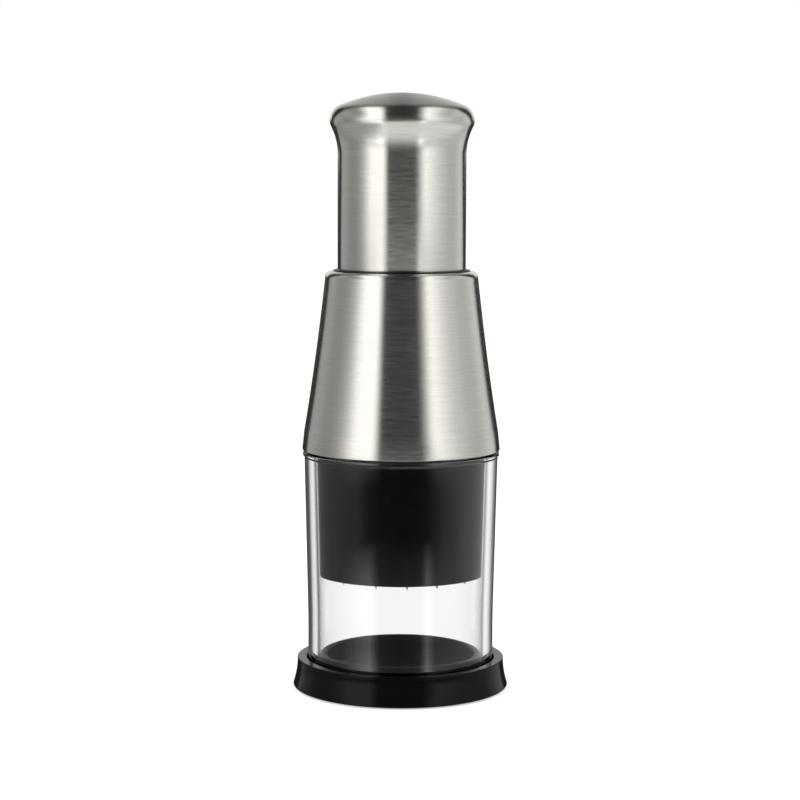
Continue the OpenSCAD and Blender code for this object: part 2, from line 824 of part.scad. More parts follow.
module blade_carrier() {
    color(black)
        difference() {
            rotate_extrude()
                polygon([
                    [0, carrier_z],
                    [carrier_r - edge, carrier_z],
                    [carrier_r, carrier_z + edge],
                    [carrier_r, carrier_top_z - edge],
                    [carrier_r - edge, carrier_top_z],
                    [hub_r, carrier_top_z],
                    [hub_r, hub_top_z],
                    [0, hub_top_z]
                ]);
            translate([0, 0, shaft_z - eps])
                cylinder(r = shaft_r + fit_gap, h = hub_top_z - shaft_z + 1);
            rotate([0, 0, blade_set_angle]) {
                blade_slots(fit_gap, fit_gap, carrier_z - 1, blade_seat + 1 + fit_gap);
                for (side = [-1, 1])
                    cross_bar(rod_d / 2 + fit_gap, carrier_r + 1, side * rod_offset, rod_z);
                cross_bar(pin_d / 2 + fit_gap, hub_r + 1, 0, pin_z);
            }
        }
}

module blade_rods() {
    half = sqrt(pow(carrier_r, 2) - pow(rod_offset, 2)) - edge;
    color(steel)
        rotate([0, 0, blade_set_angle])
            for (side = [-1, 1])
                cross_bar(rod_d / 2, half, side * rod_offset, rod_z);
}

module carrier_pin() {
    color(steel)
        rotate([0, 0, blade_set_angle])
            cross_bar(pin_d / 2, hub_r - edge, 0, pin_z);
}

module chopping_blade(k) {
    x = blade_x(k);
    color(steel)
        rotate([0, 0, blade_set_angle])
            difference() {
                translate([x, 0, 0])
                    rotate([90, 0, 0])
                        linear_extrude(height = 2 * blade_half(x), center = true)
                            polygon([
                                [-blade_tip_t / 2, tip_z],
                                [blade_tip_t / 2, tip_z],
                                [blade_t / 2, tip_z + blade_edge_h],
                                [blade_t / 2, blade_top_z],
                                [-blade_t / 2, blade_top_z],
                                [-blade_t / 2, tip_z + blade_edge_h]
                            ]);
                for (side = [-1, 1])
                    cross_bar(rod_d / 2 + fit_gap, carrier_r, side * rod_offset, rod_z);
            }
}

base_cap();
foot_ring();
cup_gasket();
clear_cup();
cone_shell();
housing_liner();
guide_bush();
neck_gasket();
sleeve_ring();
guide_plate();
guide_screws();
spring_washer();
press_buffer();
return_spring();
blade_sleeve();
handle_shell();
handle_core();
plunger_shaft();
shaft_washer();
shaft_nut();
top_buffer();
blade_carrier();
blade_rods();
carrier_pin();
for (k = [1:blade_count])
    chopping_blade(k);
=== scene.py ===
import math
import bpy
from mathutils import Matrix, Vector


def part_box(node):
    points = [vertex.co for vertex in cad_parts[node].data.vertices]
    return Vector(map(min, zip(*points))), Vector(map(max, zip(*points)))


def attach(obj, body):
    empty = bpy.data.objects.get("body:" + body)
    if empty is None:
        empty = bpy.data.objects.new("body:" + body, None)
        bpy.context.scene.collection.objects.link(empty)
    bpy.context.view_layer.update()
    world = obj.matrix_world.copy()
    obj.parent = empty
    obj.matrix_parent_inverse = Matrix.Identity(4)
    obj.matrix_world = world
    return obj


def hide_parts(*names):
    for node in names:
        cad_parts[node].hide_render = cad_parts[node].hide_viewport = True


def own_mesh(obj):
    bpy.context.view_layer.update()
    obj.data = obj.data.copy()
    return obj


bl_info = {
    "name": "Press Chopper",
    "version": (1, 0, 0),
    "blender": (4, 5, 0),
    "location": "View3D > Sidebar > Chopper",
    "description": "Dresses the frame of a hand-press vegetable chopper and sets it in a studio",
    "category": "Add Mesh",
}

import bpy
from bpy.props import FloatProperty, FloatVectorProperty, IntProperty, PointerProperty
from mathutils import Matrix, Vector

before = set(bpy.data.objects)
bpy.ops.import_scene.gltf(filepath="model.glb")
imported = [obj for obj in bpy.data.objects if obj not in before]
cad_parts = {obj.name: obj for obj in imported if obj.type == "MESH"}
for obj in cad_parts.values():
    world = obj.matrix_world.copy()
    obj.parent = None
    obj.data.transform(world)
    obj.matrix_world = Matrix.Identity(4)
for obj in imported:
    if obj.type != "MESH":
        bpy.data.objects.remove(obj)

BLADES = [f"chopping_blade_{k}" for k in range(1, 6)]
FIT = 0.00005                # pieces that touch are drawn this far apart
SAME_POINT = 0.000002        # points nearer than this are merged
CREASE = math.radians(32)    # steeper edges than this stay sharp
# The soft lower edge of the steel sheet: how far each point is in from the side, and up
SHEET_EDGE = [(0.0006, 0), (0.0003, 0.00008), (0.00008, 0.0003), (0, 0.0006)]


def low_z(node):
    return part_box(node)[0].z


def top_z(node):
    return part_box(node)[1].z


def radius(node):
    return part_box(node)[1].x


def size(name, description, default, low=0.0, high=1.0):
    """A length in metres that can be changed in the panel."""
    return FloatProperty(
        name=name, description=description, default=default, min=low, max=high,
        unit="LENGTH", precision=5,
    )


def share(name, description, default, low=0.0, high=1.0):
    return FloatProperty(name=name, description=description, default=default, min=low, max=high)


def colour(name, description, default):
    return FloatVectorProperty(
        name=name, description=description, default=default, subtype="COLOR",
        size=3, min=0.0, max=1.0,
    )


class ChopperSizes(bpy.types.PropertyGroup):
    """Sizes of the turned pieces that their CAD boxes don't give"""

    steps: IntProperty(
        name="Steps", description="Steps round the axis in a turned piece",
        default=160, min=48, max=256,
    )
    sheet: size("Sheet steel", "Thickness of the steel of the handle and cone", 0.0006)
    knob_out: size("Knob", "How far the knob stands out of the tube", 0.0022)
    knob_round: size("Knob edge", "Round of the knob's edge", 0.0042)
    dome_round: size("Dome", "Radius of the knob's domed top", 0.044)
    neck_round: size("Neck", "Radius of the hollow under the knob", 0.016)
    tube_lip: size("Tube lip", "Width of the lip at the end of the tube", 0.00135)
    cone_foot: size("Cone foot", "Height of the steeper foot of the cone", 0.0053)
    cone_foot_in: size("Cone foot lean", "How far the foot of the cone leans in", 0.00055)
    cone_top: size("Cone top", "Radius of the cone below its rounded top edge", 0.0208)
    cone_hollow: size("Cone hollow", "How far the side of the cone curves in", 0.0003)
    cone_round: size("Cone edge", "Round of the cone's top edge", 0.0018)
    hem: size("Hem", "Width of the hem turned in under the cone", 0.0011)
    bush_wall: size("Bush", "Wall of the bush that the handle slides in", 0.00095)
    bush_flange: size("Bush flange", "Thickness of the bush's flange under the cone", 0.0013)
    bush_flange_out: size("Flange width", "How far the flange stands out of the bush", 0.0006)
    bush_stand: size("Bush lip", "How far the bush stands out of the cone", 0.0008)
    bush_set_in: size("Bush wear", "How far the bush's lip is rounded down", 0.0004)
    cup_wall: size("Cup wall", "Wall of the clear cup", 0.0031)
    cup_foot: size("Cup foot", "Height of the straight foot of the cup", 0.016)
    cup_flare: size("Cup flare", "How much wider the cup is at its top", 0.00105)
    bead_out: size("Bead", "How far the cup's bead stands out", 0.0004)
    bead_height: size("Bead height", "Thickness of the cup's bead", 0.0008)
    neck_wall: size("Neck wall", "Wall of the cup above its bead", 0.00125)
    neck_height: size("Neck height", "Height of the cup above its bead", 0.0054)
    sleeve_gap: size("Sleeve gap", "Gap between the cup and the sleeve", 0.0004)
    sleeve_bore: size("Sleeve bore", "Radius of the sleeve's bore", 0.0206)
    sleeve_floor: size("Sleeve floor", "Thickness of the slotted floor", 0.002)
    sleeve_recess: size("Floor recess", "How far the floor lies above the rim", 0.0003)
    sleeve_step: size("Sleeve step", "Step from the sleeve to its neck", 0.00105)
    sleeve_flange: size("Sleeve flange", "Thickness of the sleeve's flange", 0.0015)
    slot_side: size("Slot side", "Gap at each side of a blade in its slot", 0.00025)
    slot_end: size("Slot end", "Gap at each end of a blade in its slot", 0.0004)
    blade_angle: FloatProperty(
        name="Blade angle", description="Angle at which the blade set stands",
        default=math.radians(5), subtype="ANGLE",
    )
    blade_edge: size("Ground edge", "Height of the ground edge of the blades", 0.0014)
    rim_radius: size("Rim", "Radius of the base at its rim", 0.02835)
    rim_wall: size("Rim wall", "Wall of the rim outside the cup", 0.0026)
    rim_round: size("Rim edge", "Round of the rim's edge", 0.0003)
    rim_height: size("Rim height", "Height of the rim of the base", 0.0084)
    floor_height: size("Floor", "Height of the chopping floor", 0.004)
    groove_height: size("Groove", "Height of the floor of the cup's groove", 0.003)
    collar_radius: size("Collar", "Outer radius of the collar in the cup", 0.022)
    collar_wall: size("Collar wall", "Wall of the collar in the cup", 0.0017)
    floor_round: size("Floor fillet", "Fillet between the floor and the collar", 0.0008)
    recess_height: size("Recess", "Height of the recess under the base", 0.0014)
    recess_wall: size("Recess wall", "Wall between the recess and the foot ring", 0.0015)
    foot_ring: size("Foot ring", "Width of the rubber ring that the base stands on", 0.0035)
    skirt_round: size("Skirt edge", "Round of the lower edge of the skirt", 0.0005)
    wire: size("Wire", "Diameter of the spring's wire", 0.0014)
    spring_radius: size("Spring", "Mean radius of the spring", 0.0076)
    curls: IntProperty(name="Curls", description="Curls of the spring", default=14, min=4, max=20)


class ChopperFinish(bpy.types.PropertyGroup):
    """Colours and gloss of the chopper's materials"""

    steel: colour("Steel", "Colour of the brushed steel", (0.745, 0.73, 0.68))
    steel_gloss: share("Steel roughness", "Mean roughness of the brushed steel", 0.21)
    plated: colour("Plated steel", "Colour of the spring and the screws", (0.68, 0.68, 0.69))
    blade: colour("Blade steel", "Colour of the blades", (0.66, 0.67, 0.68))
    clear: colour("Clear plastic", "Tint of the cup", (0.985, 0.99, 0.99))
    glossy: colour("Glossy black", "Colour of the base", (0.0035, 0.0035, 0.0038))
    satin: colour("Satin black", "Colour of the inner mouldings", (0.004, 0.0043, 0.0047))
    grey: colour("Grey plastic", "Colour of the guide plate", (0.35, 0.36, 0.37))
    rubber: colour("Rubber", "Colour of the rubber rings", (0.05, 0.05, 0.052))


class ChopperStage(bpy.types.PropertyGroup):
    """Camera and light of the studio"""

    distance: size("Distance", "Distance of the camera from the axis", 0.604, 0.1, 5.0)
    height: size("Height", "Height of the camera", 0.1424, 0.0, 5.0)
    aim: size("Aim", "Height that the camera looks at", 0.07923)
    aside: size("Aside", "How far to the side of the axis the camera looks", -0.00033, -1.0)
    roll: FloatProperty(
        name="Roll", description="Roll of the camera", default=math.radians(0.2),
        subtype="ANGLE",
    )
    lens: FloatProperty(
        name="Lens", description="Focal length of the camera in millimetres",
        default=100.0, min=20.0, max=300.0,
    )
    surround: share("Surround", "Level of the light from all round", 0.62, 0.0, 2.0)
    lamps: share("Lamps", "Level of the two large lamps", 1.0, 0.0, 4.0)
    floor: colour("Floor", "Colour of the floor", (0.86, 0.86, 0.86))


# Outlines, as lists of (radius, height)

def arc(x, z, r, start, end, count=12):
    """Points of an arc about (x, z) from one angle to another, in degrees."""
    angles = [math.radians(start + (end - start) * i / count) for i in range(count + 1)]
    return [(x + r * math.cos(a), z + r * math.sin(a)) for a in angles]


def rounded(corners, count=4):
    """A closed outline through corners of (radius, height) or (radius, height, round)."""
    outline = []
    for i, corner in enumerate(corners):
        point = Vector(corner[:2])
        if len(corner) < 3:
            outline.append(tuple(point))
            continue
        before = (Vector(corners[i - 1][:2]) - point).normalized()
        after = (Vector(corners[(i + 1) % len(corners)][:2]) - point).normalized()
        half = before.angle(after) / 2
        centre = point + (before + after).normalized() * corner[2] / math.sin(half)
        reach = corner[2] / math.tan(half)
        first = point + before * reach - centre
        last = point + after * reach - centre
        for k in range(count + 1):
            side = first.lerp(last, k / count).normalized() * corner[2]
            outline.append(tuple(centre + side))
    return outline


# Modelling, with the same steps as by hand

def deselect():
    if bpy.context.object and bpy.context.object.mode != "OBJECT":
        bpy.ops.object.mode_set(mode="OBJECT")
    bpy.ops.object.select_all(action="DESELECT")


def turned(name, outline, steps):
    """Draws an outline from a single corner by extruding it, and spins it round the axis.

    An outline that starts and ends off the axis is closed, and one that starts and
    ends on it is left open there, because the spin closes it.
    """
    deselect()
    bpy.ops.mesh.primitive_plane_add(size=0.01)
    piece = bpy.context.object
    piece.name = name
    piece.data.name = name
    bpy.ops.object.mode_set(mode="EDIT")
    bpy.ops.mesh.select_mode(type="VERT")
    bpy.ops.mesh.select_all(action="SELECT")
    bpy.ops.mesh.merge(type="CENTER")
    bpy.ops.transform.translate(value=(outline[0][0], 0, outline[0][1]))
    path = list(outline)
    if outline[0][0] > 1e-6:
        path.append(outline[0])
    for here, there in zip(path, path[1:]):
        step = (there[0] - here[0], 0, there[1] - here[1])
        bpy.ops.mesh.extrude_vertices_move(TRANSFORM_OT_translate={"value": step})
    bpy.ops.mesh.select_all(action="SELECT")
    bpy.ops.mesh.remove_doubles(threshold=SAME_POINT)
    bpy.ops.mesh.spin(steps=steps, angle=2 * math.pi, center=(0, 0, 0), axis=(0, 0, 1))
    bpy.ops.mesh.select_all(action="SELECT")
    bpy.ops.mesh.remove_doubles(threshold=SAME_POINT)
    bpy.ops.mesh.normals_make_consistent(inside=False)
    bpy.ops.object.mode_set(mode="OBJECT")
    bpy.ops.object.shade_smooth_by_angle(angle=CREASE)
    return piece


def straighten(piece):
    """Keeps the shading of long faces true up to the edge of each round."""
    weighted = piece.modifiers.new("weighted", "WEIGHTED_NORMAL")
    weighted.keep_sharp = True
    bpy.ops.object.modifier_apply(modifier=weighted.name)


def cut_slots(piece, slots, angle):
    """Cuts a slot through a piece for each (x, half length, half width, low z, top z)."""
    deselect()
    for x, half_length, half_width, low, top in slots:
        bpy.ops.mesh.primitive_cube_add(size=1, location=(x, 0, (low + top) / 2))
        cutter = bpy.context.object
        cutter.scale = (2 * half_width, 2 * half_length, top - low)
        bpy.ops.object.transform_apply(location=True, rotation=False, scale=True)
        cutter.rotation_euler.z = angle
        bpy.ops.object.transform_apply(location=False, rotation=True, scale=False)
        cut = piece.modifiers.new("slot", "BOOLEAN")
        cut.operation = "DIFFERENCE"
        cut.solver = "EXACT"
        cut.object = cutter
        deselect()
        bpy.context.view_layer.objects.active = piece
        piece.select_set(True)
        bpy.ops.object.modifier_apply(modifier=cut.name)
        deselect()
        cutter.select_set(True)
        bpy.ops.object.delete()
    bpy.context.view_layer.objects.active = piece
    piece.select_set(True)


def coat(piece, slot):
    """Gives a piece the material of a slot, which is made the first time it is asked for."""
    name, make = MATERIALS[slot]
    scene = bpy.context.scene
    made = bpy.data.materials.get(name)
    made = made or make(name, scene.chopper_finish, scene.chopper_sizes)
    piece.data.materials.clear()
    piece.data.materials.append(made)


def settle(piece, body, slot, node):
    """Gives a finished piece its material and its body, and hides the node that it stands for."""
    coat(piece, slot)
    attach(piece, body)
    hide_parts(node)


def dress(node, slot):
    """Gives a CAD node its material."""
    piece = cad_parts[node]
    coat(piece, slot)
    for face in piece.data.polygons:
        face.material_index = 0


# Materials

class Finish:
    """A material on the object's own coordinates, with its shader and its nodes."""

    def __init__(self, name, tint, **sockets):
        self.material = bpy.data.materials.new(name)
        self.material.use_nodes = True
        self.tree = self.material.node_tree
        self.shader = self.tree.nodes["Principled BSDF"]
        self.tint = tint
        self.set("Base Color", (*tint, 1))
        for key, value in sockets.items():
            socket = key.replace("_", " ").title()
            self.set(socket.replace("Ior", "IOR"), value)
        self.place = self.add("ShaderNodeTexCoord").outputs["Object"]

    def set(self, socket, value):
        self.shader.inputs[socket].default_value = value

    def add(self, kind, **settings):
        made = self.tree.nodes.new(kind)
        for key, value in settings.items():
            setattr(made, key, value)
        return made

    def join(self, source, target):
        self.tree.links.new(source, target)

    def work_out(self, operation, a, b):
        """The result of one Math node on two sockets or numbers."""
        made = self.add("ShaderNodeMath", operation=operation)
        for socket, value in zip(made.inputs, (a, b)):
            if isinstance(value, (int, float)):
                socket.default_value = value
            else:
                self.join(value, socket)
        return made.outputs["Value"]

    def noise(self, place, scale, detail=3.0, roughness=0.5):
        made = self.add("ShaderNodeTexNoise")
        made.inputs["Scale"].default_value = scale
        made.inputs["Detail"].default_value = detail
        made.inputs["Roughness"].default_value = roughness
        self.join(place, made.inputs["Vector"])
        return made.outputs["Fac"]

    def stretched(self, scale, angle=0.0):
        """The object's coordinates, drawn out along an axis and turned about Z."""
        made = self.add("ShaderNodeMapping", vector_type="TEXTURE")
        made.inputs["Scale"].default_value = [1 / s for s in scale]
        made.inputs["Rotation"].default_value = (0, 0, angle)
        self.join(self.place, made.inputs["Vector"])
        return made.outputs["Vector"]

    def round_lines(self, across, along):
        """Coordinates for lines that run round the axis, on a wall or on a flat top."""
        split = self.add("ShaderNodeSeparateXYZ")
        self.join(self.place, split.inputs["Vector"])
        x, y, z = (split.outputs[k] for k in "XYZ")
        squares = [self.work_out("MULTIPLY", k, k) for k in (x, y)]
        reach = self.work_out("SQRT", self.work_out("ADD", *squares), 0)
        line = self.work_out("SUBTRACT", z, reach)
        made = self.add("ShaderNodeCombineXYZ")
        self.join(self.work_out("MULTIPLY", x, along), made.inputs["X"])
        self.join(self.work_out("MULTIPLY", y, along), made.inputs["Y"])
        self.join(self.work_out("MULTIPLY", line, across), made.inputs["Z"])
        return made.outputs["Vector"]

    def spread(self, source, low, high, start=0.3, end=0.7):
        """Maps noise between two levels."""
        made = self.add("ShaderNodeMapRange")
        for socket, value in zip(made.inputs[1:5], (start, end, low, high)):
            socket.default_value = value
        self.join(source, made.inputs["Value"])
        return made.outputs["Result"]

    def rough(self, source, low, high):
        self.join(self.spread(source, low, high), self.shader.inputs["Roughness"])

    def shade(self, source, low, high):
        """Varies the brightness of the colour with noise."""
        made = self.add("ShaderNodeMix", data_type="RGBA", blend_type="MULTIPLY")
        made.inputs["Factor"].default_value = 1.0
        plain, varied = [socket for socket in made.inputs if socket.type == "RGBA"]
        plain.default_value = (*self.tint, 1)
        grey = self.add("ShaderNodeCombineColor")
        level = self.spread(source, low, high)
        for socket in grey.inputs:
            self.join(level, socket)
        self.join(grey.outputs["Color"], varied)
        result = [socket for socket in made.outputs if socket.type == "RGBA"][0]
        self.join(result, self.shader.inputs["Base Color"])

    def bump(self, source, distance, strength=1.0):
        made = self.add("ShaderNodeBump")
        made.inputs["Distance"].default_value = distance
        made.inputs["Strength"].default_value = strength
        self.join(source, made.inputs["Height"])
        self.join(made.outputs["Normal"], self.shader.inputs["Normal"])


def brushed_steel(name, colours, sizes):
    """Steel brushed round its axis: fine lines in its colour, shorter ones in its gloss."""
    steel = Finish(name, colours.steel, metallic=1.0, anisotropic=0.85,
                   anisotropic_rotation=0.25)
    fine = steel.noise(steel.round_lines(across=3600, along=120), 1.0, roughness=0.6)
    short = steel.noise(steel.round_lines(across=2200, along=250), 1.0, roughness=0.65)
    steel.rough(short, colours.steel_gloss - 0.05, colours.steel_gloss + 0.05)
    steel.shade(fine, 0.91, 1.0)
    steel.bump(fine, distance=0.000004, strength=0.4)
    tangent = steel.add("ShaderNodeTangent", direction_type="RADIAL", axis="Z")
    steel.join(tangent.outputs["Tangent"], steel.shader.inputs["Tangent"])
    return steel.material


def plated_steel(name, colours, sizes):
    steel = Finish(name, colours.plated, metallic=1.0)
    marks = steel.noise(steel.place, 1800, roughness=0.6)
    steel.rough(marks, 0.16, 0.3)
    steel.bump(marks, distance=0.000004, strength=0.4)
    return steel.material


def blade_steel(name, colours, sizes):
    """Rolled strip: lines along the blade, and a brighter band where the edge is ground."""
    steel = Finish(name, colours.blade, metallic=1.0)
    angle, edge, tip = sizes.blade_angle, sizes.blade_edge, low_z(BLADES[0])
    rolled = steel.noise(steel.stretched((60, 60, 5200), angle), 1.0, roughness=0.6)
    ground = steel.noise(steel.stretched((5200, 5200, 60), angle), 1.0, detail=2.0)
    split = steel.add("ShaderNodeSeparateXYZ")
    steel.join(steel.place, split.inputs["Vector"])
    near_tip = steel.spread(split.outputs["Z"], 1.0, 0.0, tip + edge * 0.9, tip + edge)
    made = steel.add("ShaderNodeMix", data_type="FLOAT")
    steel.join(near_tip, made.inputs["Factor"])
    steel.join(rolled, made.inputs["A"])
    steel.join(ground, made.inputs["B"])
    steel.rough(made.outputs["Result"], 0.18, 0.36)
    steel.shade(near_tip, 0.9, 1.0)
    steel.bump(made.outputs["Result"], distance=0.000004, strength=0.5)
    return steel.material


def clear_plastic(name, colours, sizes):
    """Thick clear moulding, with the faint waves of its mould."""
    plastic = Finish(name, colours.clear, roughness=0.012, ior=1.53,
                     transmission_weight=1.0)
    waves = plastic.noise(plastic.stretched((40, 40, 16)), 1.0, detail=1.0, roughness=0.4)
    plastic.bump(waves, distance=0.00003, strength=0.6)
    return plastic.material


def glossy_black(name, colours, sizes):
    """Polished moulding, with faint wipe marks in its gloss."""
    plastic = Finish(name, colours.glossy, specular_ior_level=0.13)
    marks = plastic.noise(plastic.stretched((160, 160, 320)), 1.0, detail=5.0, roughness=0.62)
    plastic.rough(marks, 0.07, 0.13)
    waves = plastic.noise(plastic.place, 60, detail=1.0, roughness=0.4)
    plastic.bump(waves, distance=0.00002, strength=0.5)
    return plastic.material


def satin_black(name, colours, sizes):
    """Spark-eroded moulding: an even fine grain."""
    plastic = Finish(name, colours.satin, specular_ior_level=0.35)
    grain = plastic.noise(plastic.place, 6000, detail=2.0, roughness=0.6)
    plastic.rough(plastic.noise(plastic.place, 220), 0.3, 0.38)
    plastic.bump(grain, distance=0.000006, strength=0.5)
    return plastic.material


def grey_plastic(name, colours, sizes):
    plastic = Finish(name, colours.grey)
    grain = plastic.noise(plastic.place, 4000, detail=2.0, roughness=0.6)
    plastic.rough(grain, 0.4, 0.52)
    plastic.bump(grain, distance=0.000006, strength=0.5)
    return plastic.material


def soft_rubber(name, colours, sizes):
    rubber = Finish(name, colours.rubber)
    grain = rubber.noise(rubber.place, 2600, detail=4.0, roughness=0.65)
    rubber.rough(grain, 0.62, 0.8)
    rubber.shade(rubber.noise(rubber.place, 120), 0.85, 1.0)
    rubber.bump(grain, distance=0.00001, strength=0.6)
    return rubber.material


MATERIALS = {
    "brushed_steel": ("Brushed steel", brushed_steel),
    "bright_steel": ("Plated steel", plated_steel),
    "blade_steel": ("Blade steel", blade_steel),
    "clear_plastic": ("Clear plastic", clear_plastic),
    "black_gloss": ("Glossy black plastic", glossy_black),
    "black_satin": ("Satin black plastic", satin_black),
    "grey_plastic": ("Grey plastic", grey_plastic),
    "rubber": ("Soft rubber", soft_rubber),
}


# Pieces, each turned or wound round the axis of the chopper


class CHOPPER_OT_handle(bpy.types.Operator):
    """Turn the steel knob and its tube in one drawn shell"""

    bl_idname = "chopper.handle"
    bl_label = "Handle"

    def execute(self, context):
        sizes = context.scene.chopper_sizes
        top, foot, knob = top_z("handle_shell"), low_z("handle_shell"), radius("handle_shell")
        tube = knob - sizes.knob_out
        edge_x = knob - sizes.knob_round
        dome_z = top - sizes.dome_round
        edge_z = dome_z + math.sqrt((sizes.dome_round - sizes.knob_round) ** 2 - edge_x ** 2)
        neck_x = tube + sizes.neck_round
        drop = math.sqrt((sizes.knob_round + sizes.neck_round) ** 2 - (neck_x - edge_x) ** 2)
        dome_end = math.degrees(math.atan2(edge_z - dome_z, edge_x))
        neck_end = math.degrees(math.atan2(drop, neck_x - edge_x))

        def side(inset):
            return (
                arc(0, dome_z, sizes.dome_round - inset, 90, dome_end, 26)
                + arc(edge_x, edge_z, sizes.knob_round - inset, dome_end, -neck_end, 26)[1:]
                + arc(neck_x, edge_z - drop, sizes.neck_round + inset,
                      180 - neck_end, 180, 18)[1:]
            )

        wall = tube - sizes.sheet
        lip = wall - sizes.tube_lip
        outline = side(0)
        outline += [(tube - back, foot + up) for back, up in reversed(SHEET_EDGE)]
        outline += [(lip, foot), (lip, foot + sizes.sheet), (wall, foot + sizes.sheet)]
        outline += side(sizes.sheet)[::-1]
        piece = turned("steel_handle", outline, sizes.steps)
        settle(piece, "plunger", "brushed_steel", "handle_shell")
        return {"FINISHED"}


class CHOPPER_OT_cone(bpy.types.Operator):
    """Turn the steel cone with its rounded top and turned-in hem"""

    bl_idname = "chopper.cone"
    bl_label = "Cone"

    def execute(self, context):
        sizes = context.scene.chopper_sizes
        hem, top, foot_r = low_z("cone_shell"), top_z("cone_shell"), radius("cone_shell")
        sheet = sizes.sheet
        bend = hem + sizes.cone_foot
        shoulder = top - sizes.cone_round
        corner = sizes.cone_top - sizes.cone_round
        hole = radius("guide_bush") - sizes.bush_flange_out + FIT

        def side(inset, low):
            """The steeper foot, and above it the side that curves in a little."""
            waist = foot_r - sizes.cone_foot_in
            points = [(foot_r - sizes.cone_foot_in * (low - hem) / sizes.cone_foot - inset, low)]
            for i in range(33):
                t = i / 32
                hollow = sizes.cone_hollow * 4 * t * (1 - t)
                points.append((waist + (sizes.cone_top - waist) * t - hollow - inset,
                               bend + (shoulder - bend) * t))
            return points

        lip = foot_r - sheet - sizes.hem
        burr = 0.0001
        outline = [(lip, hem)] + [(foot_r - back, hem + up) for back, up in SHEET_EDGE[:-1]]
        outline += side(0, hem + SHEET_EDGE[-1][1])
        outline += arc(corner, shoulder, sizes.cone_round, 0, 90, 14)[1:]
        outline += [(hole + burr, top), (hole, top - burr), (hole, top - sheet)]
        outline += arc(corner, shoulder, sizes.cone_round - sheet, 90, 0, 8)
        outline += side(sheet, hem + sheet)[::-1][1:]
        outline += [(lip, hem + sheet)]
        piece = turned("steel_cone", outline, sizes.steps)
        settle(piece, "housing", "brushed_steel", "cone_shell")
        return {"FINISHED"}


class CHOPPER_OT_bush(bpy.types.Operator):
    """Turn the black bush whose lip shows round the handle"""

    bl_idname = "chopper.bush"
    bl_label = "Bush"

    def execute(self, context):
        sizes = context.scene.chopper_sizes
        flange, low, top = radius("guide_bush"), low_z("guide_bush"), top_z("guide_bush")
        outer = flange - sizes.bush_flange_out
        inner = outer - sizes.bush_wall
        lip = top - sizes.bush_set_in
        flange_top = top - sizes.bush_stand - sizes.sheet - FIT
        flange_low = flange_top - sizes.bush_flange
        piece = turned("handle_bush", rounded([
            (inner, low, 0.0003), (outer, low, 0.0002), (outer, flange_low),
            (flange, flange_low, 0.0001), (flange, flange_top, 0.0001), (outer, flange_top),
            (outer, lip, 0.0003), (inner, lip, 0.0003),
        ]), sizes.steps)
        settle(piece, "housing", "black_satin", "guide_bush")
        return {"FINISHED"}


class CHOPPER_OT_cup(bpy.types.Operator):
    """Turn the thick clear cup, with its bead and neck"""

    bl_idname = "chopper.cup"
    bl_label = "Clear cup"

    def execute(self, context):
        sizes = context.scene.chopper_sizes
        low, top, bead = low_z("clear_cup"), top_z("clear_cup"), radius("clear_cup")
        wall = sizes.cup_wall
        upper = bead - sizes.bead_out
        lower = upper - sizes.cup_flare
        bend = low + sizes.cup_foot
        bead_top = top - sizes.neck_height
        bead_low = bead_top - sizes.bead_height
        neck = upper - wall + sizes.neck_wall
        slope = 0.0005

        def flared(inset, reverse):
            """The side above the foot, which eases from straight into its taper."""
            ease = 0.004
            points = []
            for i in range(21):
                t = i / 20
                z = bend - ease + t * 2 * ease
                rise = (z - bend + ease) ** 2 / (4 * ease)
                points.append((lower + sizes.cup_flare * rise / (bead_low - bend) - inset, z))
            return points[::-1] if reverse else points

        outline = rounded([
            (lower - wall, bend), (lower - wall, low, 0.0005), (lower, low, 0.0004),
            (lower, bend),
        ])[1:-1]
        outline += flared(0, False)
        outline += rounded([
            (upper - 0.00003, bead_low - 0.0007), (upper, bead_low - slope, 0.0003),
            (bead, bead_low, 0.0002), (bead, bead_top, 0.0002), (neck, bead_top, 0.0002),
            (neck, top, 0.0003), (upper - wall, top, 0.0003), (upper - wall, bead_low),
        ])
        outline += flared(wall, True)
        piece = turned("clear_cup_wall", outline, sizes.steps)
        straighten(piece)
        settle(piece, "cup", "clear_plastic", "clear_cup")
        return {"FINISHED"}


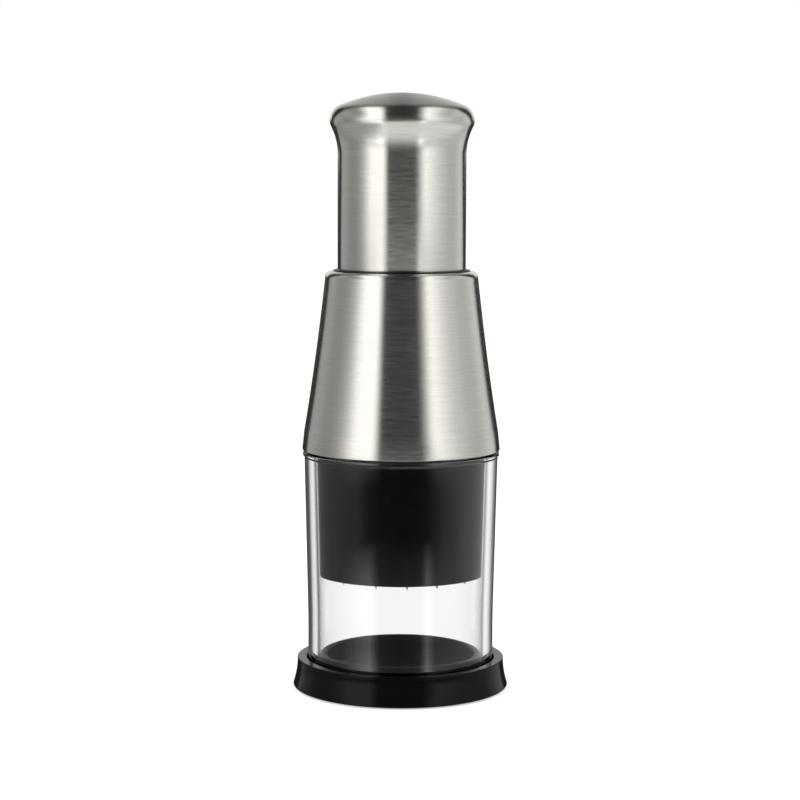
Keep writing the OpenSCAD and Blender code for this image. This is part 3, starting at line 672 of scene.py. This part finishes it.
class CHOPPER_OT_sleeve(bpy.types.Operator):
    """Turn the black sleeve and cut a slot in its floor for each blade"""

    bl_idname = "chopper.sleeve"
    bl_label = "Blade sleeve"

    def execute(self, context):
        sizes = context.scene.chopper_sizes
        low, top = low_z("blade_sleeve"), top_z("blade_sleeve")
        bead = radius("clear_cup")
        upper = bead - sizes.bead_out - sizes.cup_wall - sizes.sleeve_gap
        bend = low_z("clear_cup") + sizes.cup_foot
        bead_low = top_z("clear_cup") - sizes.neck_height - sizes.bead_height
        shoulder = top_z("clear_cup") - sizes.sleeve_gap
        flange = min(radius("blade_sleeve"), upper - FIT)
        flange_low = top - sizes.sleeve_flange
        neck = upper - sizes.sleeve_step
        bore = sizes.sleeve_bore

        def outer(z):
            lower = upper - sizes.cup_flare
            return lower + sizes.cup_flare * (z - bend) / (bead_low - bend)

        floor_low = low + sizes.sleeve_recess
        floor_top = floor_low + sizes.sleeve_floor
        outline = [(0, floor_low)] + rounded([
            (bore, floor_low), (bore, low, 0.0001), (outer(low), low, 0.0004),
            (upper, bead_low), (upper, shoulder, 0.0002), (neck, shoulder, 0.0002),
            (neck, flange_low, 0.0001), (flange, flange_low, 0.0001), (flange, top, 0.0002),
            (bore, top, 0.0002), (bore, floor_top),
        ]) + [(0, floor_top)]
        piece = turned("slotted_sleeve", outline, sizes.steps)
        past = 0.001
        turn = Matrix.Rotation(-sizes.blade_angle, 3, "Z")
        slots = []
        for blade in BLADES:
            points = [turn @ vertex.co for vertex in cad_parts[blade].data.vertices]
            xs = [point.x for point in points]
            half_length = max(point.y for point in points) + sizes.slot_end
            half_width = (max(xs) - min(xs)) / 2 + sizes.slot_side
            slots.append(((min(xs) + max(xs)) / 2, half_length, half_width,
                          floor_low - past, floor_top + past))
        cut_slots(piece, slots, sizes.blade_angle)
        bpy.ops.object.shade_smooth_by_angle(angle=CREASE)
        straighten(piece)
        settle(piece, "sleeve", "black_satin", "blade_sleeve")
        return {"FINISHED"}


class CHOPPER_OT_base(bpy.types.Operator):
    """Turn the glossy black base with its skirt, groove, collar and floor"""

    bl_idname = "chopper.base"
    bl_label = "Base"

    def execute(self, context):
        sizes = context.scene.chopper_sizes
        foot_r, low, collar_top = radius("base_cap"), low_z("base_cap"), top_z("base_cap")
        ring_top, ring_out = top_z("foot_ring"), radius("foot_ring") + FIT
        ring_in = radius("foot_ring") - sizes.foot_ring - FIT
        recess = ring_in + FIT - sizes.recess_wall
        rim, rim_z = sizes.rim_radius, sizes.rim_height
        groove = rim - sizes.rim_wall
        collar_in = sizes.collar_radius - sizes.collar_wall
        skirt_low, skirt_top = low + sizes.skirt_round, rim_z - sizes.rim_round
        outline = rounded([
            (0, sizes.recess_height), (recess, sizes.recess_height, 0.0003),
            (recess, low, 0.0002), (ring_in, low), (ring_in, ring_top), (ring_out, ring_top),
            (ring_out, low),
        ])
        outline += arc(foot_r - sizes.skirt_round, skirt_low, sizes.skirt_round, -90, 0, 6)
        for i in range(1, 25):
            t = i / 24
            outline.append((rim + (foot_r - rim) * (1 - t) ** 2,
                            skirt_low + (skirt_top - skirt_low) * t))
        outline += arc(rim - sizes.rim_round, skirt_top, sizes.rim_round, 0, 90, 8)[1:]
        outline += rounded([
            (rim - sizes.rim_round, rim_z), (groove, rim_z, 0.0003),
            (groove, sizes.groove_height, 0.0002),
            (sizes.collar_radius, sizes.groove_height, 0.0002),
            (sizes.collar_radius, collar_top, 0.0004), (collar_in, collar_top, 0.0004),
            (collar_in, sizes.floor_height, sizes.floor_round), (0, sizes.floor_height),
        ], 6)
        piece = turned("glossy_base", outline, sizes.steps)
        straighten(piece)
        settle(piece, "base", "black_gloss", "base_cap")
        return {"FINISHED"}


class CHOPPER_OT_rings(bpy.types.Operator):
    """Turn the rubber rings: foot ring, gaskets and buffers"""

    bl_idname = "chopper.rings"
    bl_label = "Rubber rings"

    def execute(self, context):
        sizes = context.scene.chopper_sizes
        rings = [                # name, body, node, width and round of the edges
            ("rubber_foot", "base", "foot_ring", sizes.foot_ring, 0.0004),
            ("cup_seal", "base", "cup_gasket", 0.00365, 0.0003),
            ("neck_seal", "housing", "neck_gasket", 0.0017, 0.0002),
            ("press_pad", "housing", "press_buffer", 0.00225, 0.0004),
            ("top_pad", "plunger", "top_buffer", 0.0028, 0.0003),
        ]
        for name, body, node, width, edge in rings:
            outer, low, top = radius(node), low_z(node), top_z(node)
            inner = outer - width
            piece = turned(name, rounded([
                (inner, low, edge), (outer, low, edge), (outer, top, edge), (inner, top, edge),
            ]), sizes.steps)
            settle(piece, body, "rubber", node)
        return {"FINISHED"}


class CHOPPER_OT_spring(bpy.types.Operator):
    """Wind the return spring, with closed curls at both ends"""

    bl_idname = "chopper.spring"
    bl_label = "Return spring"

    def execute(self, context):
        sizes = context.scene.chopper_sizes
        low, top = low_z("return_spring"), top_z("return_spring")
        wire = sizes.wire
        start, end = low + wire / 2, top - wire / 2
        closed = 1.25
        rise = wire * 1.04
        middle = (end - start - 2 * closed * rise) / (sizes.curls - 2 * closed)
        rings = 32

        def height(turns):
            """Height of the wire's middle after some turns: close, then open, then close."""
            turns = min(max(turns, 0), sizes.curls)
            if turns < closed:
                return start + turns * rise
            if turns > sizes.curls - closed:
                return end - (sizes.curls - turns) * rise
            return start + closed * rise + (turns - closed) * middle

        def eased(turns):
            """The same height, with each change of pitch spread over half a turn."""
            return sum(height(turns + part / 16) for part in range(-4, 5)) / 9

        deselect()
        bpy.ops.curve.primitive_nurbs_path_add()
        coil = bpy.context.object
        coil.name = "coil_spring"
        coil.data.splines.clear()
        line = coil.data.splines.new("POLY")
        line.points.add(sizes.curls * rings)
        for i, point in enumerate(line.points):
            turns = i / rings
            angle = 2 * math.pi * turns
            point.co = (sizes.spring_radius * math.cos(angle),
                        sizes.spring_radius * math.sin(angle), eased(turns), 1)
        coil.data.dimensions = "3D"
        coil.data.bevel_depth = wire / 2
        coil.data.bevel_resolution = 3
        coil.data.use_fill_caps = True
        bpy.ops.object.convert(target="MESH")
        coil = bpy.context.object
        bpy.ops.object.transform_apply(location=True, rotation=True, scale=True)
        bpy.ops.object.shade_smooth_by_angle(angle=math.radians(50))
        settle(coil, "housing", "bright_steel", "return_spring")
        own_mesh(coil)
        return {"FINISHED"}


class CHOPPER_OT_blades(bpy.types.Operator):
    """Finish the strip blades, with their ground edges"""

    bl_idname = "chopper.blades"
    bl_label = "Blades"

    def execute(self, context):
        for blade in BLADES:
            dress(blade, "blade_steel")
        return {"FINISHED"}


class CHOPPER_OT_works(bpy.types.Operator):
    """Finish the works inside: shaft, nut, washers, guide, carrier, core and liner"""

    bl_idname = "chopper.works"
    bl_label = "Works"

    def execute(self, context):
        for node in ("plunger_shaft", "shaft_washer", "shaft_nut", "guide_screws",
                     "spring_washer", "blade_rods", "carrier_pin"):
            dress(node, "bright_steel")
        for node in ("housing_liner", "sleeve_ring", "handle_core", "blade_carrier"):
            dress(node, "black_satin")
        dress("guide_plate", "grey_plastic")
        return {"FINISHED"}


# Levels of the light tent by direction in degrees, as (direction, level). Directions
# round the axis count from the camera's side, and those above the horizon are positive.

SOFT_BOXES = (
    (-180, 0.03), (-144, 0.03), (-138, 0.45), (-118, 0.4), (-104, 0.3), (-90, 0.31),
    (-81, 0.42), (-74, 0.62), (-67, 0.95), (-58, 1.5), (-33, 1.5), (-24, 0.05), (0, 0.04),
    (22, 0.05), (29, 0.42), (36, 1.12), (42, 1.42), (52, 1.2), (71, 0.8), (88, 0.57),
    (104, 0.54), (123, 0.75), (138, 0.66), (144, 0.03), (180, 0.03),
)
UNDER_THE_BOXES = (
    (-144, 0.03), (-138, 0.12), (-104, 0.12), (-80, 0.13), (-67, 0.11), (-55, 0.12),
    (-48, 0.07), (-40, 0.03), (-28, 0.01), (0, 0.005), (30, 0.01), (42, 0.05), (55, 0.13),
    (68, 0.17), (85, 0.27), (138, 0.3), (144, 0.03),
)
NEAR_THE_FOOT = (
    (-144, 0.03), (-138, 0.12), (-88, 0.15), (-76, 0.2), (-65, 0.55), (-60, 0.65), (-50, 1.1),
    (-38, 1.6), (-30, 0.6), (-25, 0.2), (0, 0.15), (19, 0.2), (25, 0.3), (29, 0.8), (33, 1.5),
    (39, 0.8), (44, 0.4), (68, 0.3), (85, 0.2), (138, 0.2), (144, 0.03),
)
NEAR_GAIN = 2.7
PALE_FLOOR = ((-75, 0.4), (-52, 0.5), (-40, 0.9), (-33, 1.1), (-24, 0.88))
BEHIND = (
    (-180, 0.12), (-165, 0.13), (-159, 0.15), (-155, 0.4), (-150, 0.88), (-143, 1.0),
    (-137, 1.2), (-126, 0.7), (-118, 0.4), (118, 0.6), (126, 0.8), (137, 1.3), (142, 1.05),
    (150, 0.93), (158, 0.6), (166, 0.35), (171, 0.2), (180, 0.12),
)

# Levels by height in degrees, between the boxes and in the window behind

CAMERA_SIDE = ((0, 0.08), (7, 0.08), (11, 0.03))
WINDOW = (
    (6, 0.03), (9, 1.0), (17, 0.8), (28, 0.58), (38, 0.43), (46, 0.33), (60, 0.22), (84, 0.1),
    (93, 0.05),
)

# Degrees that the right box leans, by height, and degrees from straight behind that the
# window and its dark frame reach, from the horizon at 0 to overhead at 1

BOX_LEAN = ((5, 2.5), (12, 0), (17, -2))
WINDOW_REACH = ((0, 26), (0.8, 41), (0.9, 62), (1, 82))
FRAME_WIDTH = ((0, 14), (0.6, 26), (0.8, 24), (0.9, 14), (1, 12))

# Shares of one level in another, by height unless the name says where

OVERHEAD = ((5, 0), (35, 1))
BACK_ROUND = ((134, 0), (142, 1))
BACK_EDGE_ROUND = ((100, 0), (136, 1))
WINDOW_BAR_ASIDE = ((0, 0.75), (1.5, 0.8), (4, 1))
UNDER_IN_EDGE = ((7, 1), (16, 0))
FLOOR_IN_EDGE = ((-34, 1), (-20, 0.15), (-14, 0))
UNDER_OVER_FOOT = ((-12.8, 0), (-11.7, 0.65), (-10.6, 1))
LOW_IN_GLOSS = ((-7.6, 1), (-5.5, 0))
FLOOR_IN_GLOSS = ((-18, 1), (-15, 0))
SOFT_EDGE = ((0, 0), (4, 1))
CRISP_EDGE = ((0, 0), (3, 1))


def level_at(table, where):
    """The level of a table at a direction, between its two nearest entries."""
    if where <= table[0][0]:
        return table[0][1]
    for (low, before), (high, after) in zip(table, table[1:]):
        if where <= high:
            return before + (after - before) * (where - low) / (high - low)
    return table[-1][1]


def blend(a, b, share_of_b):
    return a + (b - a) * share_of_b


def soft_box_level(place, around, above):
    """Two long soft boxes left and right of the camera, which reach over the object."""
    lean = level_at(BOX_LEAN, above) if around > 0 else 0
    box = level_at(SOFT_BOXES, around - lean)
    if abs(around) < 60:
        box = max(box, level_at(CAMERA_SIDE, above))
    if above > OVERHEAD[0][0]:
        turn = min(math.degrees(math.acos(-place.y)), 130)
        spread = 1 - 0.008 * max(turn - 31, 0)
        aside = math.degrees(math.asin(place.x)) / spread
        over = level_at(SOFT_BOXES, max(-135, min(aside, 135)))
        box = blend(box, over, level_at(OVERHEAD, above))
    return box


def with_window(gloss, place, above):
    """A pale window behind the object, with a bar down its middle, in a dark frame."""
    from_back = math.degrees(math.acos(place.y))
    if above <= 0 or from_back <= 1:
        return gloss
    rise = place.z / math.sin(math.radians(from_back))
    reach = level_at(WINDOW_REACH, rise)
    aside = abs(math.degrees(math.asin(place.x)))
    pane = level_at(WINDOW, above) * level_at(WINDOW_BAR_ASIDE, aside)
    frame_end = reach + level_at(FRAME_WIDTH, rise)
    gloss = blend(gloss, 0.02, level_at(SOFT_EDGE, frame_end - from_back))
    return blend(gloss, pane, level_at(CRISP_EDGE, reach - from_back))


def tent_levels(place):
    """Levels in one direction: as gloss sees the tent, and as the wall of the cup does.

    Below the soft boxes it is dim, lower down the light on the table near the foot is
    seen, and the pale floor below that.
    """
    around = math.degrees(math.atan2(place.x, -place.y))
    above = math.degrees(math.asin(place.z))
    front = 1 - level_at(BACK_ROUND, abs(around))
    box = soft_box_level(place, around, above)
    dim = level_at(UNDER_THE_BOXES, around)
    near = NEAR_GAIN * level_at(NEAR_THE_FOOT, around)
    edge = blend(box, level_at(BEHIND, around), level_at(BACK_EDGE_ROUND, abs(around)))
    edge = blend(edge, dim, level_at(UNDER_IN_EDGE, above) * front)
    edge = blend(edge, 0.6, level_at(FLOOR_IN_EDGE, above) * front)
    low = blend(near, 2 * dim, level_at(UNDER_OVER_FOOT, above))
    gloss = blend(box, low, level_at(LOW_IN_GLOSS, above) * front)
    gloss = blend(gloss, level_at(PALE_FLOOR, around), level_at(FLOOR_IN_GLOSS, above) * front)
    return with_window(gloss, place, above), edge


def lit_where_seen(tree, plain, seen):
    """A level that is seen by the camera and in gloss and glass, and a plain one for light."""
    path = tree.nodes.new("ShaderNodeLightPath")
    rays = path.outputs["Is Camera Ray"]
    for ray in ("Is Glossy Ray", "Is Transmission Ray"):
        either = tree.nodes.new("ShaderNodeMath")
        either.operation = "MAXIMUM"
        tree.links.new(rays, either.inputs[0])
        tree.links.new(path.outputs[ray], either.inputs[1])
        rays = either.outputs["Value"]
    level = tree.nodes.new("ShaderNodeMapRange")
    level.inputs["To Min"].default_value = plain
    level.inputs["To Max"].default_value = seen
    tree.links.new(rays, level.inputs["Value"])
    return level.outputs["Result"]


class CHOPPER_OT_stage(bpy.types.Operator):
    """Set the pale floor, the studio light and the camera"""

    bl_idname = "chopper.stage"
    bl_label = "Stage"

    def execute(self, context):
        scene = context.scene
        stage = scene.chopper_stage
        scene.view_settings.view_transform = "Standard"
        self.surround(scene, stage)
        self.floor(stage)
        self.reflections()
        self.lamps(stage)
        self.camera(scene, stage)
        return {"FINISHED"}

    def surround(self, scene, stage):
        world = bpy.data.worlds.new("Studio")
        scene.world = world
        world.use_nodes = True
        tree = world.node_tree
        back = tree.nodes["Background"]
        back.inputs["Color"].default_value = (1, 1, 1, 1)
        level = lit_where_seen(tree, plain=stage.surround, seen=1.0)
        tree.links.new(level, back.inputs["Strength"])

    def floor(self, stage):
        deselect()
        bpy.ops.mesh.primitive_plane_add(size=12)
        floor = bpy.context.object
        floor.name = "studio_floor"
        pale = bpy.data.materials.new("Pale floor")
        pale.use_nodes = True
        tree = pale.node_tree
        tree.nodes.clear()
        surface = tree.nodes.new("ShaderNodeBsdfDiffuse")
        surface.inputs["Color"].default_value = (*stage.floor, 1)
        glow = tree.nodes.new("ShaderNodeEmission")
        tree.links.new(lit_where_seen(tree, plain=0.0, seen=0.5), glow.inputs["Strength"])
        both = tree.nodes.new("ShaderNodeAddShader")
        tree.links.new(surface.outputs["BSDF"], both.inputs[0])
        tree.links.new(glow.outputs["Emission"], both.inputs[1])
        out = tree.nodes.new("ShaderNodeOutputMaterial")
        tree.links.new(both.outputs["Shader"], out.inputs["Surface"])
        floor.data.materials.append(pale)
        floor.visible_glossy = False
        floor.visible_transmission = False

    def reflections(self):
        """A round tent of soft boxes and dark cards, which only gloss and glass can see."""
        deselect()
        bpy.ops.mesh.primitive_uv_sphere_add(segments=180, ring_count=90, radius=1.3)
        tent = bpy.context.object
        tent.name = "light_tent"
        bpy.ops.object.shade_smooth()
        gloss = tent.data.color_attributes.new("gloss", "FLOAT_COLOR", "POINT")
        edges = tent.data.color_attributes.new("edges", "FLOAT_COLOR", "POINT")
        for vertex, *points in zip(tent.data.vertices, gloss.data, edges.data):
            for point, level in zip(points, tent_levels(vertex.co.normalized())):
                point.color = (level, level, level, 1)
        cloth = bpy.data.materials.new("Light tent")
        cloth.use_nodes = True
        tree = cloth.node_tree
        tree.nodes.clear()

        def add(kind, **values):
            made = tree.nodes.new(kind)
            for key, value in values.items():
                setattr(made, key, value)
            return made

        def mix(factor, a, b):
            made = add("ShaderNodeMix", data_type="FLOAT")
            for socket, value in zip(made.inputs[:1] + made.inputs[2:4], (factor, a, b)):
                if isinstance(value, (int, float)):
                    socket.default_value = value
                else:
                    tree.links.new(value, socket)
            return made.outputs["Result"]

        shiny = add("ShaderNodeAttribute", attribute_name="gloss").outputs["Fac"]
        edge = add("ShaderNodeAttribute", attribute_name="edges").outputs["Fac"]
        path = add("ShaderNodeLightPath")
        straight = add("ShaderNodeMath", operation="LESS_THAN")
        tree.links.new(path.outputs["Glossy Depth"], straight.inputs[0])
        straight.inputs[1].default_value = 0.5
        plain_white = 1.1
        through = mix(straight.outputs["Value"], edge, plain_white)
        level = mix(path.outputs["Is Transmission Ray"], shiny, through)
        glow = add("ShaderNodeEmission")
        tree.links.new(level, glow.inputs["Strength"])
        out = add("ShaderNodeOutputMaterial")
        tree.links.new(glow.outputs["Emission"], out.inputs["Surface"])
        tent.data.materials.append(cloth)
        tent.visible_camera = False
        tent.visible_diffuse = False
        tent.visible_shadow = False

    def lamps(self, stage):
        away, width, middle = 1.1, 0.7, 0.07
        lamps = [("left_lamp", -50, 0.75, 6.5), ("right_lamp", 62, 0.7, 5.0)]
        for name, around, height, power in lamps:
            a = math.radians(around)
            place = Vector((math.sin(a) * away, -math.cos(a) * away, height))
            aim = (Vector((0, 0, middle)) - place).to_track_quat("-Z", "Y").to_euler()
            bpy.ops.object.light_add(type="AREA", location=place, rotation=aim)
            lamp = bpy.context.object
            lamp.name = name
            lamp.data.shape = "RECTANGLE"
            lamp.data.size = width
            lamp.data.size_y = width
            lamp.data.energy = power * stage.lamps
            lamp.visible_camera = False
            lamp.visible_glossy = False
            lamp.visible_transmission = False

    def camera(self, scene, stage):
        place = Vector((0, -stage.distance, stage.height))
        view = (Vector((stage.aside, 0, stage.aim)) - place).to_track_quat("-Z", "Y").to_matrix()
        view = view @ Matrix.Rotation(stage.roll, 3, "Z")
        bpy.ops.object.camera_add(location=place, rotation=view.to_euler())
        camera = bpy.context.object
        camera.name = "photo_camera"
        camera.data.lens = stage.lens
        camera.data.sensor_width = 36
        camera.data.clip_start = 0.01
        scene.camera = camera


class CHOPPER_PT_panel(bpy.types.Panel):
    """The chopper's sizes, colours and pieces"""

    bl_idname = "CHOPPER_PT_panel"
    bl_label = "Press chopper"
    bl_space_type = "VIEW_3D"
    bl_region_type = "UI"
    bl_category = "Chopper"

    def draw(self, context):
        scene = context.scene
        for group in (scene.chopper_sizes, scene.chopper_finish, scene.chopper_stage):
            box = self.layout.box()
            for key in group.bl_rna.properties.keys():
                if key not in ("rna_type", "name"):
                    box.prop(group, key)
        for operator in OPERATORS:
            self.layout.operator(operator.bl_idname)


GROUPS = (ChopperSizes, ChopperFinish, ChopperStage)
OPERATORS = (
    CHOPPER_OT_base, CHOPPER_OT_rings, CHOPPER_OT_cup, CHOPPER_OT_sleeve, CHOPPER_OT_blades,
    CHOPPER_OT_cone, CHOPPER_OT_bush, CHOPPER_OT_handle, CHOPPER_OT_spring, CHOPPER_OT_works,
    CHOPPER_OT_stage,
)


def register():
    for kind in (*GROUPS, *OPERATORS, CHOPPER_PT_panel):
        bpy.utils.register_class(kind)
    bpy.types.Scene.chopper_sizes = PointerProperty(type=ChopperSizes)
    bpy.types.Scene.chopper_finish = PointerProperty(type=ChopperFinish)
    bpy.types.Scene.chopper_stage = PointerProperty(type=ChopperStage)


def unregister():
    del bpy.types.Scene.chopper_stage
    del bpy.types.Scene.chopper_finish
    del bpy.types.Scene.chopper_sizes
    for kind in (CHOPPER_PT_panel, *reversed(OPERATORS), *reversed(GROUPS)):
        bpy.utils.unregister_class(kind)


def build():
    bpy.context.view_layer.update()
    register()
    bpy.ops.chopper.base()
    bpy.ops.chopper.rings()
    bpy.ops.chopper.cup()
    bpy.ops.chopper.sleeve()
    bpy.ops.chopper.blades()
    bpy.ops.chopper.cone()
    bpy.ops.chopper.bush()
    bpy.ops.chopper.handle()
    bpy.ops.chopper.spring()
    bpy.ops.chopper.works()
    bpy.ops.chopper.stage()


if __name__ == "__main__":
    build()
